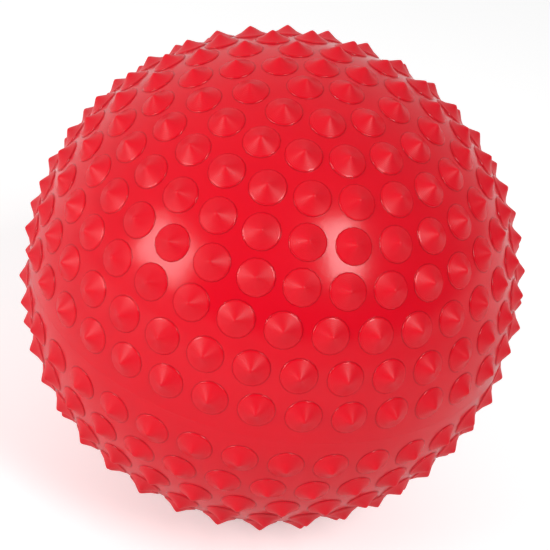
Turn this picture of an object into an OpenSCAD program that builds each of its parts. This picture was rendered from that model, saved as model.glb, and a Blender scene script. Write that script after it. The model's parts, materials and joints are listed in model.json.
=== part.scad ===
// Inflatable sensory ball: one hollow skin of soft vinyl covered in blunt conical spikes,
// with a plugged inflation valve in place of one spike at the back.
// Millimetres, +Z up. The origin is the ball's centre, and the ball lies on three spikes.

/* [Ball] */
// Diameter over the spike tips
ball_d = 200; // [160:1:280]
// Thickness of the skin between the spikes
skin_t = 1.6; // [1.2:0.1:3]

/* [Spikes] */
// Height of a spike above the skin
spike_h = 3.7; // [2.5:0.1:6]
// Diameter of a spike at its foot
spike_d = 13.2; // [9:0.1:18]
// Height of the upright lip round the foot
lip_h = 0.4; // [0.2:0.05:1]
// Diameter of the flank where the blunt tip begins
tip_d = 1.6; // [1:0.1:3]
// Height of the blunt tip
tip_h = 0.35; // [0.2:0.05:1]
// How far the hollow flank sinks below a straight one, half way up
flank_sag = 0.4; // [0.1:0.05:0.6]
// Depth of a spike's root in the skin
root_h = 0.8; // [0.5:0.1:1.1]
// Bare skin between the spike feet of neighbouring rings
ring_gap = 2.3; // [1.5:0.1:6]
// Least bare skin between neighbours in the fullest ring
spike_gap = 3.4; // [1.5:0.1:8]
// Least bare skin between the parting line and a spike's foot
parting_land = 4; // [2:0.5:8]
// Turn of each ring from the front in degrees, the ring next to the pole first
ring_turn = [-17, 11, 0, 6, -7, -5, 4, -1, 2]; // [-30:1:30]
// Turn of the lower half against the upper half, degrees
half_turn = 13; // [0:1:359]

/* [Valve] */
// Ring that holds the valve, counted up from the parting line
valve_row = 2; // [1:1:6]
// Bearing of the valve from the front, degrees; it takes the nearest spike's place
valve_bearing = 180; // [0:5:355]
// Bare skin round the valve
valve_land = 0.9; // [0.5:0.1:1.5]
// Width of the sleeve's rim round the plug's head
rim_w = 1.65; // [1.2:0.05:2]
// Width of the sleeve's flange inside the skin
flange_w = 5; // [3:0.5:8]
// Thickness of that flange
flange_t = 1.5; // [1:0.1:3]
// Bond line between the sleeve and the skin
bond_gap = 0.05; // [0.02:0.01:0.1]
// Diameter of the sleeve's bore
bore_d = 7; // [6:0.1:8]
// Wall of the sleeve's tube round the bore
tube_wall = 2; // [1.5:0.1:3]
// Empty length of bore below the plug
bore_spare = 1; // [0.5:0.5:6]
// Diameter of the throat that grips a pump nozzle
throat_d = 4; // [3:0.1:5]
// Length of the throat
throat_len = 5; // [3:0.5:8]

/* [Plug] */
// Diameter of the plug's head
head_d = 10; // [9:0.1:11]
// Thickness of the plug's head
head_t = 1.4; // [1:0.1:2]
// Gap round the plug's head
head_gap = 0.3; // [0.2:0.05:0.5]
// Bevel round the top of the head
head_bevel = 0.4; // [0.2:0.05:0.6]
// Length of the plug's stem
stem_len = 8; // [6:0.5:15]
// Gap between the stem and the bore
stem_gap = 0.05; // [0.02:0.01:0.1]
// Lead-in at the end of the stem
stem_lead = 0.8; // [0.4:0.1:1.5]
// Diameter of the fingernail notch beside the head
nail_d = 3.4; // [2.5:0.1:4]
// How far the notch reaches out past the head's gap
nail_reach = 0.8; // [0.5:0.05:1]
// Depth of the notch below the head
nail_depth = 0.8; // [0.5:0.1:1.5]

/* [Hidden] */
ball_fn = 192;
spike_fn = 24;
valve_fn = 64;
half_count_slack = 0.01;
cut_margin = 1;

tip_r = ball_d/2;
skin_r = tip_r - spike_h;
inside_r = skin_r - skin_t;

// Rings of spikes: equal steps from each pole, and what is left over lies at the parting line
ring_pitch = spike_d + ring_gap;
spike_pitch = spike_d + spike_gap;
ring_step = ring_pitch/skin_r*180/PI;
rings = floor((skin_r*PI/2 - spike_d/2 - parting_land)/ring_pitch);
fullest = floor(2*PI*skin_r*sin(rings*ring_step)/spike_pitch);
function ring_count(k) = k == 0 ? 1 : floor(fullest*sin(90*k/rings) + half_count_slack);
function turn_of(k) = k == 0 ? 0 : ring_turn[(k - 1) % len(ring_turn)];
function upper(k, j) = [k*ring_step, turn_of(k) + j*360/ring_count(k)];
function lower(k, j) = [180 - k*ring_step, 180 + half_turn - upper(k, j)[1]];

// Every place for a spike, as an angle from the upper pole and a bearing from the front
places = [
    for (k = [0:rings], j = [0:ring_count(k) - 1]) each [upper(k, j), lower(k, j)]
];
function aim(place) = [
    sin(place[0])*sin(place[1]),
    -sin(place[0])*cos(place[1]),
    cos(place[0])
];

// The ball leans onto its lower pole spike and two spikes of the ring round it
first_step = 360/ring_count(1);
lean_bearing = lower(1, 0)[1] - (floor(ring_count(1)/2) + 0.5)*first_step;
lean = atan((1 - cos(ring_step))/(sin(ring_step)*cos(first_step/2)));

// The valve stands where one spike would
valve_ring = rings + 1 - valve_row;
valve_step = 360/ring_count(valve_ring);
valve_at = upper(valve_ring, round((valve_bearing - turn_of(valve_ring))/valve_step));
neck_r = head_d/2 + head_gap + rim_w;
hole_r = neck_r + bond_gap;
flange_r = hole_r + flange_w;
flange_top_r = inside_r - bond_gap;
valve_clear = spike_d/2 + hole_r + valve_land;
function bare(place) = skin_r*PI/180*acos(min(1, aim(place)*aim(valve_at))) < valve_clear;

// Heights along the valve's axis, from the ball's centre
recess_r = head_d/2 + head_gap;
head_top_z = sqrt(skin_r*skin_r - recess_r*recess_r);
seat_z = head_top_z - head_t;
stem_end_z = seat_z - stem_len;
throat_z = stem_end_z - bore_spare;
sleeve_end_z = throat_z - throat_len;
tube_r = bore_d/2 + tube_wall;
stem_r = bore_d/2 - stem_gap;

vinyl_red = "#e4081e";
plug_white = "#f1efe9";

module lie() {
    rotate([0, 0, lean_bearing]) rotate([lean, 0, 0]) rotate([0, 0, -lean_bearing]) children();
}

module at(place) {
    rotate([place[0], 0, place[1]]) children();
}

// One spike about its own axis: root in the skin, upright lip, flank that steepens half way, blunt tip
module spike() {
    foot_r = spike_d/2;
    foot_z = sqrt(skin_r*skin_r - foot_r*foot_r);
    lip_z = foot_z + lip_h;
    rotate_extrude($fn = spike_fn) polygon([
        [0, foot_z - root_h],
        [foot_r, foot_z - root_h],
        [foot_r, lip_z],
        [(foot_r + tip_d/2)/2, (lip_z + tip_r - tip_h)/2 - flank_sag],
        [tip_d/2, tip_r - tip_h],
        [tip_d/4, tip_r],
        [0, tip_r]
    ]);
}

// Moulded skin with the hole for the valve, and its spikes
module shell() {
    color(vinyl_red) lie() union() {
        difference() {
            sphere(r = skin_r, $fn = ball_fn);
            sphere(r = inside_r, $fn = ball_fn);
            at(valve_at) translate([0, 0, inside_r - flange_t])
                cylinder(r = hole_r, h = skin_t + flange_t + cut_margin, $fn = valve_fn);
        }
        for (place = places) if (!bare(place)) at(place) spike();
    }
}

// Sleeve bonded into the skin: flush rim, flange inside, tube with the plug's bore and the throat
module valve_sleeve() {
    color(vinyl_red) lie() at(valve_at) difference() {
        union() {
            intersection() {
                sphere(r = skin_r, $fn = ball_fn);
                translate([0, 0, flange_top_r - flange_t])
                    cylinder(r = neck_r, h = skin_r - flange_top_r + flange_t, $fn = valve_fn);
            }
            intersection() {
                difference() {
                    sphere(r = flange_top_r, $fn = ball_fn);
                    sphere(r = flange_top_r - flange_t, $fn = ball_fn);
                }
                translate([0, 0, flange_top_r/2])
                    cylinder(r = flange_r, h = flange_top_r/2 + cut_margin, $fn = valve_fn);
            }
            translate([0, 0, sleeve_end_z])
                cylinder(r = tube_r, h = flange_top_r - flange_t/2 - sleeve_end_z, $fn = valve_fn);
        }
        translate([0, 0, seat_z])
            cylinder(r = recess_r, h = skin_r - seat_z + cut_margin, $fn = valve_fn);
        translate([recess_r + nail_reach - nail_d/2, 0, seat_z - nail_depth])
            cylinder(d = nail_d, h = skin_r - seat_z + nail_depth + cut_margin, $fn = valve_fn);
        translate([0, 0, throat_z])
            cylinder(d = bore_d, h = seat_z - throat_z + cut_margin, $fn = valve_fn);
        translate([0, 0, sleeve_end_z - cut_margin])
            cylinder(d = throat_d, h = throat_len + 2*cut_margin, $fn = valve_fn);
    }
}

// Pull-out plug: thin head in the sleeve's recess and a stem that fills the bore
module valve_plug() {
    color(plug_white) lie() at(valve_at) rotate_extrude($fn = valve_fn) polygon([
        [0, stem_end_z],
        [stem_r - stem_lead/2, stem_end_z],
        [stem_r, stem_end_z + stem_lead],
        [stem_r, seat_z],
        [head_d/2, seat_z],
        [head_d/2, head_top_z - head_bevel],
        [head_d/2 - head_bevel, head_top_z],
        [0, head_top_z]
    ]);
}

shell();
valve_sleeve();
valve_plug();
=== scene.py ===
"""Soft vinyl sensory ball: its moulded spiked skin, valve and studio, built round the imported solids."""

import json
import math

import bmesh
import bpy
import numpy as np
from bpy.props import FloatProperty, FloatVectorProperty, IntProperty, PointerProperty
from mathutils import Matrix, Vector

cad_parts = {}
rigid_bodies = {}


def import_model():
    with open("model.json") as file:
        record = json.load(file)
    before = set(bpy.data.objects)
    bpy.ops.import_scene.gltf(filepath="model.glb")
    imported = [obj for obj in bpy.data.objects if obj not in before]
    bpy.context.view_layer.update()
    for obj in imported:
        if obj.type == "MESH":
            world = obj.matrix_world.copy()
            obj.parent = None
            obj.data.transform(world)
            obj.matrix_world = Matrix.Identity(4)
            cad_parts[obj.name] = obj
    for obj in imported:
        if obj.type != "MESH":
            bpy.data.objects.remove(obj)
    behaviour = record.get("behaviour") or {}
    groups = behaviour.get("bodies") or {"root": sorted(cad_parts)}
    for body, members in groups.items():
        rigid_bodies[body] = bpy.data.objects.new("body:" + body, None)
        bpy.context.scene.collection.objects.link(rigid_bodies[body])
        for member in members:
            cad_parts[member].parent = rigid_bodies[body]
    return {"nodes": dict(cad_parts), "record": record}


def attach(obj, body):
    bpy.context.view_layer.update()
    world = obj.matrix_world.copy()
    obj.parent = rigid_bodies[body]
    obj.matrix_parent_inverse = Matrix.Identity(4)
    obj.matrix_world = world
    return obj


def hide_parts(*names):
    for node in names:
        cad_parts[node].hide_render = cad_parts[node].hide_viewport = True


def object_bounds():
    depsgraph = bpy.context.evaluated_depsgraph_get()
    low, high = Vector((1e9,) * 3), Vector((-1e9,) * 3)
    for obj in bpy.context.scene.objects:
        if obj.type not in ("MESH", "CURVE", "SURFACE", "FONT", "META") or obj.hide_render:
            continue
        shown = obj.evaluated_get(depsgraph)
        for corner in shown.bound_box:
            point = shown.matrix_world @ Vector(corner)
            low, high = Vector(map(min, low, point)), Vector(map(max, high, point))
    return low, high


bl_info = {
    "name": "Sensory Ball",
    "version": (1, 0, 0),
    "blender": (4, 5, 0),
    "location": "3D View > Sidebar > Ball",
    "description": "Builds a vinyl ball covered in conical spikes, its valve and a plain studio",
    "category": "Add Mesh",
}

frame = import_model()
CAD_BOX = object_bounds()
PULL = frame["record"]["behaviour"]["joints"][0]
VALVE_AXIS = np.array(PULL["axis"]) / np.linalg.norm(PULL["axis"])
BALL_BODY = PULL["parent"]
PLUG_BODY = PULL["child"]
MM = 0.001

# Turn of each ring of spikes from the front in degrees, the ring next to the pole first
RING_TURN = (-17, 11, 0, 6, -7, -5, 4, -1, 2)


def linear_rgb(code):
    """Turns an sRGB hex colour into the linear red, green and blue that shaders use."""
    srgb = np.array([int(code[i : i + 2], 16) for i in (0, 2, 4)]) / 255
    return tuple(np.where(srgb <= 0.04045, srgb / 12.92, ((srgb + 0.055) / 1.055) ** 2.4))


class BALL_PG_sizes(bpy.types.PropertyGroup):
    """Sizes of the ball, as in the part's source."""

    ball_d: FloatProperty(
        name="Ball diameter", description="Over the spike tips", default=0.2, unit="LENGTH"
    )
    skin_t: FloatProperty(
        name="Skin", description="Thickness between the spikes", default=1.6 * MM, unit="LENGTH"
    )
    spike_h: FloatProperty(
        name="Spike height", description="Above the skin", default=3.7 * MM, unit="LENGTH"
    )
    spike_d: FloatProperty(
        name="Spike foot", description="Diameter at the foot", default=13.2 * MM, unit="LENGTH"
    )
    lip_h: FloatProperty(
        name="Foot lip", description="Step round the foot", default=0.4 * MM, unit="LENGTH"
    )
    tip_d: FloatProperty(
        name="Tip", description="Where the flank ends", default=1.6 * MM, unit="LENGTH"
    )
    tip_h: FloatProperty(
        name="Tip height", description="Of the blunt end", default=0.35 * MM, unit="LENGTH"
    )
    flank_sag: FloatProperty(
        name="Flank sag", description="Below a straight flank", default=0.4 * MM, unit="LENGTH"
    )
    ring_gap: FloatProperty(
        name="Ring gap", description="Bare skin between rings", default=2.3 * MM, unit="LENGTH"
    )
    spike_gap: FloatProperty(
        name="Spike gap", description="Bare skin in the fullest ring", default=3.4 * MM, unit="LENGTH"
    )
    parting_land: FloatProperty(
        name="Parting land", description="Bare skin by the seam", default=4 * MM, unit="LENGTH"
    )
    half_turn: FloatProperty(
        name="Half turn",
        description="Lower half against upper half",
        default=math.radians(13),
        subtype="ANGLE",
    )
    hole_r: FloatProperty(
        name="Valve hole", description="Radius in the skin", default=7 * MM, unit="LENGTH"
    )
    edge_steps: IntProperty(
        name="Edge steps",
        description="Faces along the border between two neighbouring spikes",
        default=3,
        min=2,
        max=8,
    )


class BALL_PG_plug(bpy.types.PropertyGroup):
    """Sizes of the valve's pull-out plug."""

    head_d: FloatProperty(name="Head", description="Diameter", default=10 * MM, unit="LENGTH")
    head_t: FloatProperty(name="Head depth", description="Depth", default=1.4 * MM, unit="LENGTH")
    stem_d: FloatProperty(name="Stem", description="Diameter", default=6.9 * MM, unit="LENGTH")
    stem_len: FloatProperty(name="Stem length", description="Length", default=8 * MM, unit="LENGTH")
    recess_d: FloatProperty(
        name="Recess", description="Diameter round the head", default=10.6 * MM, unit="LENGTH"
    )


class BALL_PG_finish(bpy.types.PropertyGroup):
    """Colours of the ball's materials and of the floor."""

    skin: FloatVectorProperty(
        name="Skin",
        description="Red of the vinyl skin",
        size=3,
        subtype="COLOR",
        default=linear_rgb("e70320"),
    )
    sleeve: FloatVectorProperty(
        name="Sleeve",
        description="Red of the valve sleeve",
        size=3,
        subtype="COLOR",
        default=linear_rgb("cc0a1c"),
    )
    plug: FloatVectorProperty(
        name="Plug",
        description="White of the plug",
        size=3,
        subtype="COLOR",
        default=linear_rgb("efece4"),
    )
    floor: FloatVectorProperty(
        name="Floor",
        description="Pale studio floor",
        size=3,
        subtype="COLOR",
        default=linear_rgb("f2f2f2"),
    )


def unit(v):
    """Scales each vector of an array to length one."""
    return v / np.linalg.norm(v, axis=-1, keepdims=True)


def aims(colat, bearing):
    """Unit vectors at an angle from +Z and a bearing from -Y towards +X."""
    return np.stack(
        [np.sin(colat) * np.sin(bearing), -np.sin(colat) * np.cos(bearing), np.cos(colat)], -1
    )


def ring_layout(s):
    """Angle step between rings, spikes in each ring, and the lean that sets the ball on three spikes.

    Rings stand a foot and a gap apart along the skin. The ring nearest the parting line holds as
    many spikes as fit with the least gap, and the others hold that count times the sine of their
    share of a quarter turn. The lean brings the lower pole's spike and two of its neighbours level.
    """
    skin_r = s.ball_d / 2 - s.spike_h
    pitch = s.spike_d + s.ring_gap
    step = pitch / skin_r
    rings = int((skin_r * math.pi / 2 - s.spike_d / 2 - s.parting_land) / pitch)
    fullest = int(2 * math.pi * skin_r * math.sin(rings * step) / (s.spike_d + s.spike_gap))
    counts = np.floor(fullest * np.sin(np.pi / 2 * np.arange(1, rings + 1) / rings) + 0.01)
    rise = (1 - math.cos(step)) / (math.sin(step) * math.cos(math.pi / counts[0]))
    return step, counts.astype(int), math.atan(rise)


def mould_turn(s):
    """Matrix that leans the mould's axis from +Z to where it is on the resting ball."""
    _, counts, lean = ring_layout(s)
    first = 2 * math.pi / counts[0]
    bearing = math.pi + s.half_turn - math.radians(RING_TURN[0]) - (counts[0] // 2 + 0.5) * first
    about = Matrix.Rotation(bearing, 3, "Z")
    return about @ Matrix.Rotation(lean, 3, "X") @ about.inverted()


def spike_axes(s):
    """Axes of all the spike places: equal steps round each ring, and the lower half turned over."""
    step, counts, _ = ring_layout(s)
    ring = np.repeat(np.arange(len(counts)), counts)
    place = np.arange(len(ring)) - np.repeat(np.cumsum(counts) - counts, counts)
    bearing = np.radians(np.array(RING_TURN)[ring % len(RING_TURN)]) + 2 * np.pi * place / counts[ring]
    colat = np.append((ring + 1) * step, 0)
    bearing = np.append(bearing, 0)
    upper = aims(colat, bearing)
    lower = aims(np.pi - colat, np.pi + s.half_turn - bearing)
    return np.concatenate([upper, lower]) @ np.array(mould_turn(s)).T


def hull_triangles(points):
    """Triangles of the points' convex hull, outward: they link each spike with its neighbours."""
    bm = bmesh.new()
    for p in points:
        bm.verts.new(p)
    bm.verts.index_update()
    bmesh.ops.convex_hull(bm, input=bm.verts[:])
    bmesh.ops.triangulate(bm, faces=bm.faces[:])
    tris = np.array([[v.index for v in f.verts] for f in bm.faces])
    bm.free()
    a, b, c = points[tris[:, 0]], points[tris[:, 1]], points[tris[:, 2]]
    inward = np.sum(np.cross(b - a, c - a) * a, axis=1) < 0
    tris[inward] = tris[inward][:, ::-1]
    return tris


def spike_cells(axes, steps):
    """Border of each spike's own patch of skin, half way to its neighbours, as one run of samples.

    A corner of the borders is the point equally far from the three spikes of a hull triangle. The
    border between two neighbours runs straight from corner to corner, cut into equal steps, so
    both patches share its points. The samples of a patch go round its axis anticlockwise.
    """
    tris = hull_triangles(axes)
    a, b, c = axes[tris[:, 0]], axes[tris[:, 1]], axes[tris[:, 2]]
    corner = unit(np.cross(b - a, c - a))
    here = tris.ravel()
    there = np.roll(tris, -1, axis=1).ravel()
    left = np.repeat(np.arange(len(tris)), 3)
    key = here * len(axes) + there
    order = np.argsort(key)
    right = left[order[np.searchsorted(key[order], there * len(axes) + here)]]

    side = unit(np.cross(axes, np.where(np.abs(axes[:, 2:]) > 0.9, (1.0, 0, 0), (0, 0, 1.0))))
    ahead = np.cross(axes, side)
    start, end = corner[right], corner[left]
    angle = np.arctan2(np.sum(start * ahead[here], 1), np.sum(start * side[here], 1))
    order = np.lexsort((angle, here))
    here, start, end = here[order], start[order], end[order]

    share = np.arange(steps) / steps
    border = unit(start[:, None] + (end - start)[:, None] * share[:, None]).reshape(-1, 3)
    cell = np.repeat(here, steps)
    count = np.bincount(cell)
    first = np.cumsum(count) - count
    index = np.arange(len(cell)) - first[cell]
    following = np.where(index + 1 == count[cell], first[cell], np.arange(len(cell)) + 1)

    # Rings nearer the axis are evenly spaced, turned to lie as close as they can to the border's samples
    even = 2 * np.pi * index / count[cell]
    angle = np.arctan2(np.sum(border * ahead[cell], 1), np.sum(border * side[cell], 1))
    off = np.exp(1j * (angle - even))
    turn = np.angle(np.bincount(cell, off.real) + 1j * np.bincount(cell, off.imag))
    phi = (even + turn[cell])[:, None]
    outward = side[cell] * np.cos(phi) + ahead[cell] * np.sin(phi)
    return cell, border, outward, following


def spike_profile(s):
    """Radius, height and normal's lean of each ring of a spike, from the skin to the edge of its tip.

    The step at the foot has two narrow bands. The flank is hollow, steepening evenly from a gentle
    slope at the foot to a steeper one at the tip, and the tip is blunt.
    """
    tip_r = s.ball_d / 2
    skin_r = tip_r - s.spike_h
    foot, edge = s.spike_d / 2, s.tip_d / 2
    foot_z = math.sqrt(skin_r**2 - foot**2)
    lip_z = foot_z + s.lip_h
    edge_z = tip_r - s.tip_h
    bend, bend_z = (foot + edge) / 2, (lip_z + edge_z) / 2 - s.flank_sag
    low = math.atan2(bend_z - lip_z, foot - bend)
    high = math.atan2(edge_z - bend_z, bend - edge)
    skirt = foot + 0.15 * MM
    over = 0.25 * MM
    step_lean = math.radians(68)
    rows = [
        (skirt, math.sqrt(skin_r**2 - skirt**2), math.asin(skirt / skin_r)),
        (foot, foot_z + 0.6 * s.lip_h, step_lean),
        (foot - over, lip_z + over * math.tan(low), low),
        (bend, bend_z, (low + high) / 2),
        (edge, edge_z, high),
    ]
    return np.array(rows).T


def mesh_piece(name, verts, faces, normals=None, smooth=True):
    """Makes an object at the origin from arrays; a face with a repeated corner is a triangle."""
    tri = faces[:, 2] == faces[:, 3]
    sizes = np.where(tri, 3, 4)
    keep = np.ones(faces.shape, bool)
    keep[tri, 3] = False
    mesh = bpy.data.meshes.new(name)
    mesh.vertices.add(len(verts))
    mesh.vertices.foreach_set("co", np.ascontiguousarray(verts, np.float32).ravel())
    mesh.loops.add(int(sizes.sum()))
    mesh.loops.foreach_set("vertex_index", faces[keep].astype(np.int32))
    mesh.polygons.add(len(faces))
    mesh.polygons.foreach_set("loop_start", (np.cumsum(sizes) - sizes).astype(np.int32))
    mesh.update(calc_edges=True)
    mesh.validate()
    mesh.shade_smooth() if smooth else mesh.shade_flat()
    if normals is not None:
        mesh.normals_split_custom_set(normals[keep].tolist())
    piece = bpy.data.objects.new(name, mesh)
    bpy.context.scene.collection.objects.link(piece)
    return piece


def spiked_skin(s):
    """One closed surface: every spike's profile carried round its axis and on to its patch's border.

    The valve's patch has a hole instead of a spike, from which the wall runs in and round as the
    inner face, so the skin is hollow with its real thickness.
    """
    axes = spike_axes(s)
    cell, border, outward, following = spike_cells(axes, s.edge_steps)
    axis = axes[cell]
    skin_r = s.ball_d / 2 - s.spike_h
    inner_r = skin_r - s.skin_t
    n = len(cell)
    valve = int(np.argmax(axes @ VALVE_AXIS))
    on_valve = cell == valve
    spiked = ~on_valve

    # Border points, each shared by the patches that meet there
    places, shared = np.unique(np.round(border * 1e6).astype(np.int64), axis=0, return_inverse=True)
    edge_id = shared.reshape(-1)
    edge = np.zeros((len(places), 3))
    edge[edge_id] = border * skin_r
    reach = np.zeros(len(places))
    reach[edge_id] = skin_r * np.sqrt(np.maximum(0, 1 - np.sum(border * axis, 1) ** 2))

    radius, height, lean = spike_profile(s)
    hole = [s.hole_r, s.hole_r]
    hole_z = [math.sqrt(skin_r**2 - s.hole_r**2), math.sqrt(inner_r**2 - s.hole_r**2)]
    rows = len(radius)
    rings = axis * height[:, None, None] + outward * radius[:, None, None]
    tips = axes * s.ball_d / 2

    # Inner face and the hole's wall, on the valve patch's own samples
    vs = np.flatnonzero(on_valve)
    vn = len(vs)
    inner_bands = 40
    turn = np.linspace(math.asin(s.hole_r / inner_r), math.pi, inner_bands + 1)[:-1]
    wall = [axis[vs] * z + outward[vs] * r for r, z in zip(hole, hole_z)]
    along, across = np.cos(turn)[1:, None, None], np.sin(turn)[1:, None, None]
    inside = inner_r * (axis[vs] * along + outward[vs] * across)
    lining = np.concatenate([np.stack(wall), inside])
    far_point = -axes[valve : valve + 1] * inner_r

    verts = np.concatenate([edge, rings.reshape(-1, 3), tips, lining.reshape(-1, 3), far_point])
    ring0 = len(edge)
    tip0 = ring0 + rows * n
    lining0 = tip0 + len(axes)
    last = len(verts) - 1
    far_off = np.full(lining.shape[0] * vn + 1, 20 * MM)
    off_axis = np.concatenate([reach, np.repeat(radius, n), np.zeros(len(axes)), far_off])

    def blend(tilt, at):
        return axis[at] * np.cos(tilt) + outward[at] * np.sin(tilt)

    k = np.flatnonzero(spiked)
    k2 = following[k]
    faces, normals = [], []
    faces.append(np.stack([ring0 + k2, ring0 + k, edge_id[k], edge_id[k2]], 1))
    normals.append(np.stack([blend(lean[0], k2), blend(lean[0], k), border[k], border[k2]], 1))
    for row in range(rows - 1):
        low, high = ring0 + row * n, ring0 + (row + 1) * n
        faces.append(np.stack([low + k, low + k2, high + k2, high + k], 1))
        pair = (lean[row], lean[row], lean[row + 1], lean[row + 1])
        normals.append(np.stack([blend(t, i) for t, i in zip(pair, (k, k2, k2, k))], 1))
    top = ring0 + (rows - 1) * n
    crown = tip0 + cell[k]
    faces.append(np.stack([top + k, top + k2, crown, crown], 1))
    normals.append(np.stack([blend(lean[-1], k), blend(lean[-1], k2), axis[k], axis[k]], 1))

    v = np.arange(vn)
    v2 = (v + 1) % vn
    faces.append(np.stack([lining0 + v2, lining0 + v, edge_id[vs], edge_id[vs[v2]]], 1))
    rim = unit(lining[0])
    normals.append(np.stack([rim[v2], rim[v], border[vs], border[vs[v2]]], 1))
    for row in range(len(lining) - 1):
        low, high = lining0 + row * vn, lining0 + (row + 1) * vn
        faces.append(np.stack([low + v, low + v2, high + v2, high + v], 1))
        if row == 0:
            normals.append(np.stack([-outward[vs], -outward[vs[v2]], -outward[vs[v2]], -outward[vs]], 1))
        else:
            a, b = -unit(lining[row]), -unit(lining[row + 1])
            normals.append(np.stack([a, a[v2], b[v2], b], 1))
    low = lining0 + (len(lining) - 1) * vn
    end = np.full(vn, last)
    a = -unit(lining[-1])
    faces.append(np.stack([low + v, low + v2, end, end], 1))
    up = np.repeat(axes[valve : valve + 1], vn, 0)
    normals.append(np.stack([a, a[v2], up, up], 1))

    # The valve's place holds no spike, so its unused ring and tip points are left out
    faces = np.concatenate(faces)
    used, packed = np.unique(faces, return_inverse=True)
    piece = mesh_piece("spiked_skin", verts[used], packed.reshape(faces.shape), np.concatenate(normals))
    tag = piece.data.attributes.new("axis_mm", "FLOAT", "POINT")
    tag.data.foreach_set("value", (off_axis[used] / MM).astype(np.float32))
    return piece


def turned_piece(name, profile, axis, segments=48):
    """A profile of radius and height carried once round an axis through the origin, ends closed."""
    profile = np.array(profile)
    side = unit(np.cross(axis, (0, 0, 1.0)))
    ahead = np.cross(axis, side)
    phi = np.linspace(0, 2 * np.pi, segments, endpoint=False)
    outward = np.cos(phi)[:, None] * side + np.sin(phi)[:, None] * ahead
    body = profile[1:-1]
    rings = body[:, 1, None, None] * axis + body[:, 0, None, None] * outward
    ends = profile[[0, -1], 1, None] * axis
    verts = np.concatenate([rings.reshape(-1, 3), ends])
    k = np.arange(segments)
    k2 = (k + 1) % segments
    low = (np.arange(len(body) - 1) * segments)[:, None]
    quads = np.stack([low + k, low + k2, low + segments + k2, low + segments + k], -1).reshape(-1, 4)
    first, last = len(verts) - 2, len(verts) - 1
    top = (len(body) - 1) * segments
    foot = np.stack([k2, k, np.full(segments, first), np.full(segments, first)], 1)
    crown = np.stack([top + k, top + k2, np.full(segments, last), np.full(segments, last)], 1)
    return mesh_piece(name, verts, np.concatenate([quads, foot, crown]))


def arc(centre, radius, start, end, steps):
    """Points of an arc as radius and height, from one angle to another in degrees."""
    t = np.radians(np.linspace(start, end, steps))
    return np.stack([centre[0] + radius * np.cos(t), centre[1] + radius * np.sin(t)], 1)


def plug_profile(p, s):
    """The plug from the end of its stem to its crown: lead-in, stem, rounded head, gate dimple."""
    skin_r = s.ball_d / 2 - s.spike_h
    top = math.sqrt(skin_r**2 - (p.recess_d / 2) ** 2)
    seat = top - p.head_t
    end = seat - p.stem_len
    stem, head = p.stem_d / 2, p.head_d / 2
    edge = 0.4 * MM
    rim = 0.18 * MM
    lead = 0.8 * MM
    dimple, depth = 1.3 * MM, 0.2 * MM
    crown = [(head - edge - t * (head - edge - dimple), top) for t in (0.35, 0.7)]
    return np.concatenate(
        [
            [(0, end), (stem - 0.9 * MM, end)],
            arc((stem - lead, end + lead), lead, -80, 0, 7),
            [(stem, end + 4 * MM), (stem, seat - rim), (stem, seat)],
            arc((head - rim, seat + rim), rim, -90, 0, 4),
            arc((head - edge, top - edge), edge, 0, 90, 7),
            crown,
            [(dimple, top), (1.0 * MM, top - 0.6 * depth), (0.6 * MM, top - depth), (0, top - depth)],
        ]
    )


def add(tree, kind, inputs=None, **settings):
    """Adds one shader node, with its settings, and fills its inputs with values or links."""
    node = tree.nodes.new(kind)
    for name, value in settings.items():
        setattr(node, name, value)
    for name, value in (inputs or {}).items():
        if isinstance(value, bpy.types.NodeSocket):
            tree.links.new(value, node.inputs[name])
        else:
            node.inputs[name].default_value = value
    return node


def new_material(name):
    """An empty node material and its output node."""
    mat = bpy.data.materials.new(name)
    mat.use_nodes = True
    mat.node_tree.nodes.clear()
    return mat, mat.node_tree, add(mat.node_tree, "ShaderNodeOutputMaterial")


def fade(tree, value, start, end):
    """One at the start of a range and nought at its end, with a smooth change between."""
    node = add(
        tree,
        "ShaderNodeMapRange",
        {"Value": value, "From Min": start, "From Max": end, "To Min": 1.0, "To Max": 0.0},
        interpolation_type="SMOOTHSTEP",
    )
    return node.outputs["Result"]


def math_node(tree, operation, a, b=0.0):
    """One arithmetic step on two values or links."""
    return add(tree, "ShaderNodeMath", {0: a, 1: b}, operation=operation).outputs[0]


def rgba(colour, share=1.0):
    """A share of a colour, with full alpha."""
    return (*[share * x for x in colour], 1)


def mix_colours(tree, factor, a, b):
    """The first colour at factor nought and the second at one."""
    inputs = {"Factor": factor, "A": a, "B": b}
    return add(tree, "ShaderNodeMix", inputs, data_type="RGBA").outputs["Result"]


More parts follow.
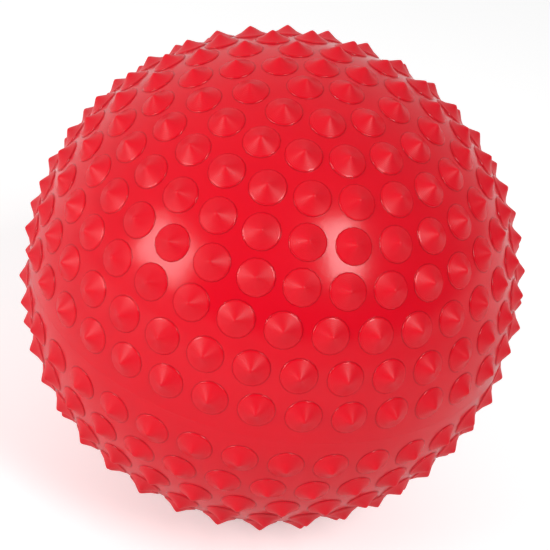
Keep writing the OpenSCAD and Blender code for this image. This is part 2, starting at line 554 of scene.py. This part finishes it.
def glossy_vinyl(name, colour, pole, foot):
    """Soft plasticised vinyl as it leaves a polished mould: glossy skin with a faint grain, spike
    flanks with the fine rings of the turned mould, painted shade as a darker red line round each foot,
    and a thin trimmed seam at the parting plane. The foot is a spike's radius there, in millimetres."""
    mat, tree, out = new_material(name)
    coords = add(tree, "ShaderNodeTexCoord").outputs["Object"]
    off_axis = add(tree, "ShaderNodeAttribute", attribute_name="axis_mm").outputs["Fac"]
    flank = fade(tree, off_axis, foot - 0.7, foot - 0.3)

    # Turning marks, about half a millimetre apart
    pitch = 0.55
    wave = math_node(tree, "SINE", math_node(tree, "MULTIPLY", off_axis, 2 * math.pi / pitch))
    marks = math_node(tree, "MULTIPLY", wave, flank)
    # Grain of the skin, about a millimetre across
    grain = add(
        tree, "ShaderNodeTexNoise", {"Vector": coords, "Scale": 900.0, "Detail": 3.0, "Roughness": 0.6}
    ).outputs["Fac"]
    # Seam where the mould's halves meet
    level = add(
        tree, "ShaderNodeVectorMath", {0: coords, 1: pole}, operation="DOT_PRODUCT"
    ).outputs["Value"]
    seam = fade(tree, math_node(tree, "ABSOLUTE", level), 0.10 * MM, 0.45 * MM)
    land = fade(tree, math_node(tree, "ABSOLUTE", level), 0.6 * MM, 1.6 * MM)

    rough = add(
        tree, "ShaderNodeMapRange", {"Value": flank, "To Min": 0.155, "To Max": 0.38}
    ).outputs["Result"]
    rough = math_node(tree, "ADD", rough, math_node(tree, "MULTIPLY", land, 0.06))
    rough = math_node(tree, "ADD", rough, math_node(tree, "MULTIPLY", grain, 0.06))

    mottle = add(
        tree, "ShaderNodeTexNoise", {"Vector": coords, "Scale": 45.0, "Detail": 2.0}
    ).outputs["Fac"]
    tint = mix_colours(tree, mottle, rgba(colour, 0.93), rgba(colour))
    # Painted shade: the base colour turns darker red in the sharp corner where a foot's step meets the
    # skin
    from_corner = math_node(tree, "ABSOLUTE", math_node(tree, "SUBTRACT", off_axis, foot + 0.12))
    corner = math_node(tree, "MULTIPLY", fade(tree, from_corner, 0.05, 0.3), 0.4)
    shade = mix_colours(tree, corner, tint, rgba(colour, 0.4))

    height = math_node(tree, "ADD", math_node(tree, "MULTIPLY", marks, 0.4), grain)
    height = math_node(tree, "ADD", height, math_node(tree, "MULTIPLY", seam, 1.5))
    bump = add(
        tree, "ShaderNodeBump", {"Height": height, "Distance": 0.03 * MM, "Strength": 1.0}
    ).outputs["Normal"]
    shader = add(
        tree,
        "ShaderNodeBsdfPrincipled",
        {
            "Base Color": shade,
            "Roughness": rough,
            "IOR": 1.53,
            "Specular IOR Level": 0.26,
            "Subsurface Weight": 0.25,
            "Subsurface Radius": (1.0, 0.12, 0.10),
            "Subsurface Scale": 1.4 * MM,
            "Normal": bump,
        },
    )
    tree.links.new(shader.outputs["BSDF"], out.inputs["Surface"])
    return mat


def moulded_plastic(name, colour, roughness, ior):
    """Soft injection-moulded plastic: one colour with a slight cloud, and a fine satin grain."""
    mat, tree, out = new_material(name)
    coords = add(tree, "ShaderNodeTexCoord").outputs["Object"]
    cloud = add(tree, "ShaderNodeTexNoise", {"Vector": coords, "Scale": 260.0, "Detail": 2.0})
    grain = add(tree, "ShaderNodeTexNoise", {"Vector": coords, "Scale": 3200.0, "Detail": 2.0})
    tint = mix_colours(tree, cloud.outputs["Fac"], rgba(colour, 0.9), rgba(colour))
    rough = add(
        tree,
        "ShaderNodeMapRange",
        {"Value": grain.outputs["Fac"], "To Min": roughness - 0.06, "To Max": roughness + 0.06},
    )
    bump = add(
        tree, "ShaderNodeBump", {"Height": grain.outputs["Fac"], "Distance": 0.02 * MM, "Strength": 0.6}
    )
    shader = add(
        tree,
        "ShaderNodeBsdfPrincipled",
        {
            "Base Color": tint,
            "Roughness": rough.outputs["Result"],
            "IOR": ior,
            "Subsurface Weight": 0.15,
            "Subsurface Radius": (1.0, 0.6, 0.5),
            "Subsurface Scale": 0.8 * MM,
            "Normal": bump.outputs["Normal"],
        },
    )
    tree.links.new(shader.outputs["BSDF"], out.inputs["Surface"])
    return mat


def white_to(tree, mirrored):
    """One for a ray from the eye or through glass, and a given share for a mirrored ray."""
    path = add(tree, "ShaderNodeLightPath").outputs
    direct = math_node(tree, "MAXIMUM", path["Is Camera Ray"], path["Is Transmission Ray"])
    glossy = math_node(tree, "MULTIPLY", path["Is Glossy Ray"], mirrored)
    return math_node(tree, "MAXIMUM", direct, glossy)


def studio_floor(colour):
    """Matt pale floor that takes the shadow, lifted to white where the eye sees it.

    A reflection sees the white well behind the ball, and the plain floor round it and in front.
    """
    mat, tree, out = new_material("studio_floor")
    coords = add(tree, "ShaderNodeTexCoord").outputs["Object"]
    place = add(tree, "ShaderNodeSeparateXYZ", {"Vector": coords}).outputs["Y"]
    behind = math_node(tree, "SUBTRACT", 1.0, fade(tree, place, 0.10, 0.35))
    seen = white_to(tree, behind)
    matt = add(tree, "ShaderNodeBsdfDiffuse", {"Color": rgba(colour)})
    lift = add(tree, "ShaderNodeEmission", {"Strength": math_node(tree, "MULTIPLY", seen, 0.41)})
    both = add(tree, "ShaderNodeAddShader", {0: matt.outputs[0], 1: lift.outputs[0]})
    tree.links.new(both.outputs[0], out.inputs["Surface"])
    return mat


class BALL_OT_skin(bpy.types.Operator):
    """Build the hollow vinyl skin with all its spikes"""

    bl_idname = "ball.skin"
    bl_label = "Spiked skin"

    def execute(self, context):
        sizes, finish = context.scene.ball_sizes, context.scene.ball_finish
        piece = spiked_skin(sizes)
        pole = mould_turn(sizes) @ Vector((0, 0, 1))
        foot = sizes.spike_d / 2 / MM
        piece.data.materials.append(glossy_vinyl("glossy_red_vinyl", finish.skin, pole, foot))
        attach(piece, BALL_BODY)
        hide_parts("shell")
        return {"FINISHED"}


class BALL_OT_sleeve(bpy.types.Operator):
    """Give the valve's sleeve its soft red vinyl"""

    bl_idname = "ball.sleeve"
    bl_label = "Valve sleeve"

    def execute(self, context):
        vinyl = moulded_plastic("soft_red_valve_vinyl", context.scene.ball_finish.sleeve, 0.38, 1.53)
        mesh = frame["nodes"]["valve_sleeve"].data
        mesh.materials.clear()
        mesh.materials.append(vinyl)
        return {"FINISHED"}


class BALL_OT_plug(bpy.types.Operator):
    """Build the pull-out plug of the valve"""

    bl_idname = "ball.plug"
    bl_label = "Valve plug"

    def execute(self, context):
        scene = context.scene
        piece = turned_piece("pull_plug", plug_profile(scene.ball_plug, scene.ball_sizes), VALVE_AXIS)
        plastic = moulded_plastic("white_plug_plastic", scene.ball_finish.plug, 0.42, 1.5)
        piece.data.materials.append(plastic)
        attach(piece, PLUG_BODY)
        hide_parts("valve_plug")
        return {"FINISHED"}


def softbox(name, aim, distance, size, power):
    """A rectangular studio lamp that faces the ball from a direction."""
    lamp = bpy.data.lights.new(name, "AREA")
    lamp.shape = "RECTANGLE"
    lamp.size, lamp.size_y = size
    lamp.energy = power
    box = bpy.data.objects.new(name, lamp)
    box.location = Vector(aim).normalized() * distance
    box.rotation_euler = Vector(aim).to_track_quat("Z", "Y").to_euler()
    bpy.context.scene.collection.objects.link(box)
    return box


def camera_axes(lean):
    """Right, up and back of the photo's camera: 35.7 degrees above the mould's belt, a degree to the
    left, and rolled so that the mould's axis leans 12.7 degrees to the right in the picture."""
    rise = math.radians(35.7) - lean
    roll = math.radians(12.67)
    yaw = math.radians(1.0)
    ahead = Vector((0, -math.cos(rise), math.sin(rise)))
    level = Vector((1, 0, 0))
    across = math.cos(roll) * level + math.sin(roll) * ahead.cross(level)
    back = math.cos(yaw) * ahead - math.sin(yaw) * across
    right = math.cos(yaw) * across + math.sin(yaw) * ahead
    return right, back.cross(right), back


def white_studio(right, back):
    """Surroundings that light the ball most from behind and above, and that the eye sees as white.

    The strength falls from behind the ball to the camera's right, and rises towards the zenith. A
    reflection sees the white low at the horizon.
    """
    world = bpy.data.worlds.new("white_studio")
    world.use_nodes = True
    tree = world.node_tree
    tree.nodes.clear()
    way = add(tree, "ShaderNodeTexCoord").outputs["Generated"]
    height = add(tree, "ShaderNodeSeparateXYZ", {"Vector": way}).outputs["Z"]
    dim = (0.9 * back + 0.4 * right).normalized()
    facing = add(tree, "ShaderNodeVectorMath", {0: way, 1: dim}, operation="DOT_PRODUCT")
    fall = {"From Min": -0.8, "From Max": 0.6, "To Min": 0.74, "To Max": 0.09}
    room = add(tree, "ShaderNodeMapRange", {"Value": facing.outputs["Value"], **fall}).outputs["Result"]
    overhead = math_node(tree, "MULTIPLY", math_node(tree, "MAXIMUM", height, 0.0), 0.32)
    light = math_node(tree, "ADD", room, overhead)
    seen = white_to(tree, fade(tree, height, 0.0, 0.15))
    level = math_node(tree, "MAXIMUM", light, seen)
    sky = add(tree, "ShaderNodeBackground", {"Color": (1, 1, 1, 1), "Strength": level})
    end = add(tree, "ShaderNodeOutputWorld")
    tree.links.new(sky.outputs[0], end.inputs["Surface"])
    return world


def photo_camera(right, up, back):
    """The photo's camera, with the ball a few pixels off the middle of the 550 pixel picture."""
    lens = bpy.data.cameras.new("photo_camera")
    lens.sensor_width = 36.0
    lens.lens = 101.3
    lens.shift_x, lens.shift_y = 3.0 / 550, 2.5 / 550
    away = 0.619
    turn = Matrix((right, up, back)).transposed().to_4x4()
    camera = bpy.data.objects.new("photo_camera", lens)
    camera.matrix_world = Matrix.Translation(back * away) @ turn
    return camera


class BALL_OT_stage(bpy.types.Operator):
    """Add the floor, lamps, white surroundings and the photo's camera"""

    bl_idname = "ball.stage"
    bl_label = "Studio"

    def execute(self, context):
        scene = context.scene
        lean = ring_layout(scene.ball_sizes)[2]
        right, up, back = camera_axes(lean)

        half = 3.0
        low = CAD_BOX[0][2]
        corners = half * np.array([(-1, -1, 0), (1, -1, 0), (1, 1, 0), (-1, 1, 0)]) + (0, 0, low)
        floor = mesh_piece("floor", corners, np.array([[0, 1, 2, 3]]), smooth=False)
        floor.data.materials.append(studio_floor(scene.ball_finish.floor))

        def seen_from(x, y, z):
            return right * x + up * y + back * z

        distance = 1.2
        softbox("left_softbox", seen_from(-0.72, 0.18, 0.66), distance, (0.54, 0.38), power=6.1)
        softbox("right_softbox", seen_from(0.50, 0.20, 0.84), distance, (0.30, 0.50), power=6.4)

        scene.world = white_studio(right, back)
        scene.camera = photo_camera(right, up, back)
        scene.collection.objects.link(scene.camera)
        scene.view_settings.view_transform = "Standard"
        return {"FINISHED"}


class BALL_PT_panel(bpy.types.Panel):
    """Lists the ball's pieces and sizes"""

    bl_idname = "BALL_PT_panel"
    bl_label = "Sensory Ball"
    bl_space_type = "VIEW_3D"
    bl_region_type = "UI"
    bl_category = "Ball"

    def draw(self, context):
        scene = context.scene
        for group in (scene.ball_sizes, scene.ball_plug, scene.ball_finish):
            for name in group.__annotations__:
                self.layout.prop(group, name)
        for step in STEPS:
            self.layout.operator(step.bl_idname)


STEPS = (BALL_OT_skin, BALL_OT_sleeve, BALL_OT_plug, BALL_OT_stage)
CLASSES = (BALL_PG_sizes, BALL_PG_plug, BALL_PG_finish, *STEPS, BALL_PT_panel)


def register():
    for cls in CLASSES:
        bpy.utils.register_class(cls)
    bpy.types.Scene.ball_sizes = PointerProperty(type=BALL_PG_sizes)
    bpy.types.Scene.ball_plug = PointerProperty(type=BALL_PG_plug)
    bpy.types.Scene.ball_finish = PointerProperty(type=BALL_PG_finish)


def unregister():
    del bpy.types.Scene.ball_finish
    del bpy.types.Scene.ball_plug
    del bpy.types.Scene.ball_sizes
    for cls in reversed(CLASSES):
        bpy.utils.unregister_class(cls)


def main():
    register()
    bpy.ops.ball.skin()
    bpy.ops.ball.sleeve()
    bpy.ops.ball.plug()
    bpy.ops.ball.stage()


if __name__ == "__main__":
    main()
